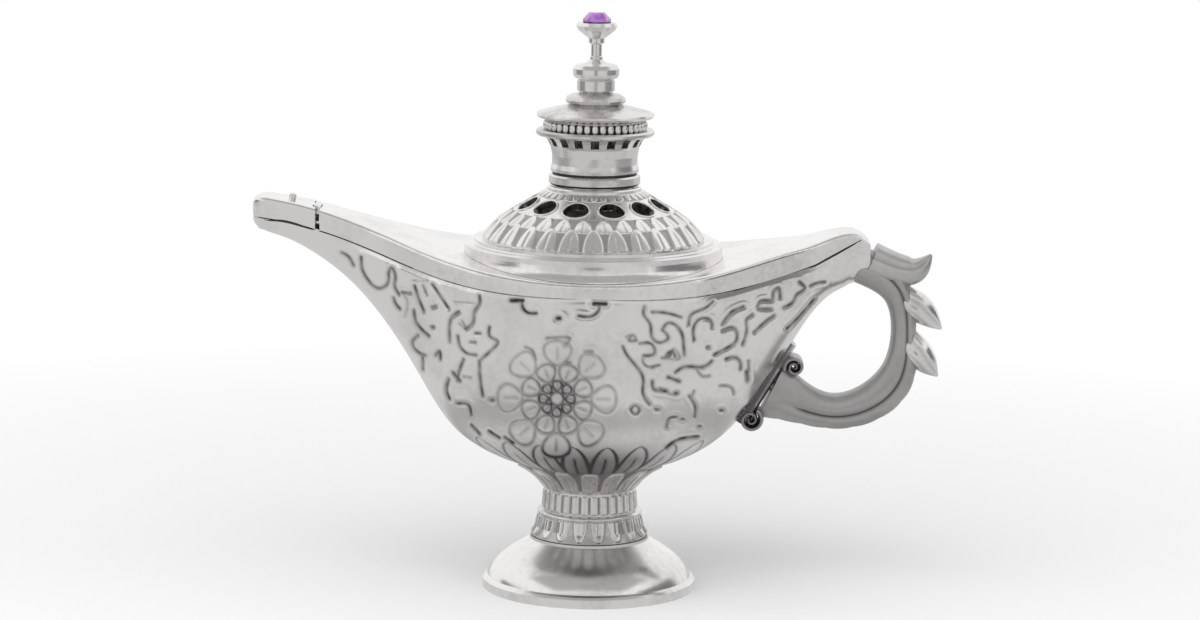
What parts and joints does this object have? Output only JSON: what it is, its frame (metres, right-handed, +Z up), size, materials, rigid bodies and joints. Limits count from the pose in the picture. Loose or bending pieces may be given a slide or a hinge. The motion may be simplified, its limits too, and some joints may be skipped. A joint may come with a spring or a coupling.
{
  "type": "genie oil lamp",
  "caption": "Boat-shaped oil lamp on a flared foot, with a leaf handle, pierced dome cover, lift-off lid with a jewel finial and a hinged flap over the wick spout.",
  "frame": {"origin": "centre of the foot's resting ring, on the table", "axes": "+Z up along the lamp's turned axis, -X toward the spout, +X toward the handle"},
  "size_m": [0.1653, 0.068, 0.139],
  "materials": {
    "silver": "polished silver plate",
    "dark_silver": "silver plate with darkened carving",
    "steel": "plain steel",
    "brass": "drawn tube",
    "cotton": "braided cotton",
    "gem": "cut purple glass"
  },
  "bodies": {
    "lamp_body": {"foot": "silver", "stem_collar": "dark_silver", "leaf_cup": "dark_silver", "bowl": "silver", "handle": "silver", "handle_screws": "steel", "foot_bolt": "steel", "foot_washer": "steel", "floor_washer": "steel", "foot_nut": "steel", "wick_tube": "brass", "wick": "cotton"},
    "cover": {"cover": "silver", "dome_ring": "silver", "dome": "silver", "dome_collar": "silver", "hinge_pin": "steel"},
    "spout_flap": {"spout_flap": "silver", "flap_nub": "silver"},
    "lid": {"lid_drum": "silver", "pearl_ring": "silver", "lid_cap": "silver", "finial_spool": "silver", "finial_goblet": "silver", "jewel": "gem", "tie_rod": "steel", "tie_washer": "steel", "tie_nut": "steel"}
  },
  "joints": [
    {"name": "cover_lift", "type": "slide", "parent": "lamp_body", "child": "cover", "axis": [0, 0, 1], "range_m": [0, 0.04]},
    {"name": "flap_hinge", "type": "hinge", "parent": "cover", "child": "spout_flap", "pos_m": [-0.0661, 0, 0.09128], "axis": [0, 1, 0], "range_deg": [0, 90]},
    {"name": "lid_lift", "type": "slide", "parent": "cover", "child": "lid", "axis": [0, 0, 1], "range_m": [0, 0.03]}
  ]
}
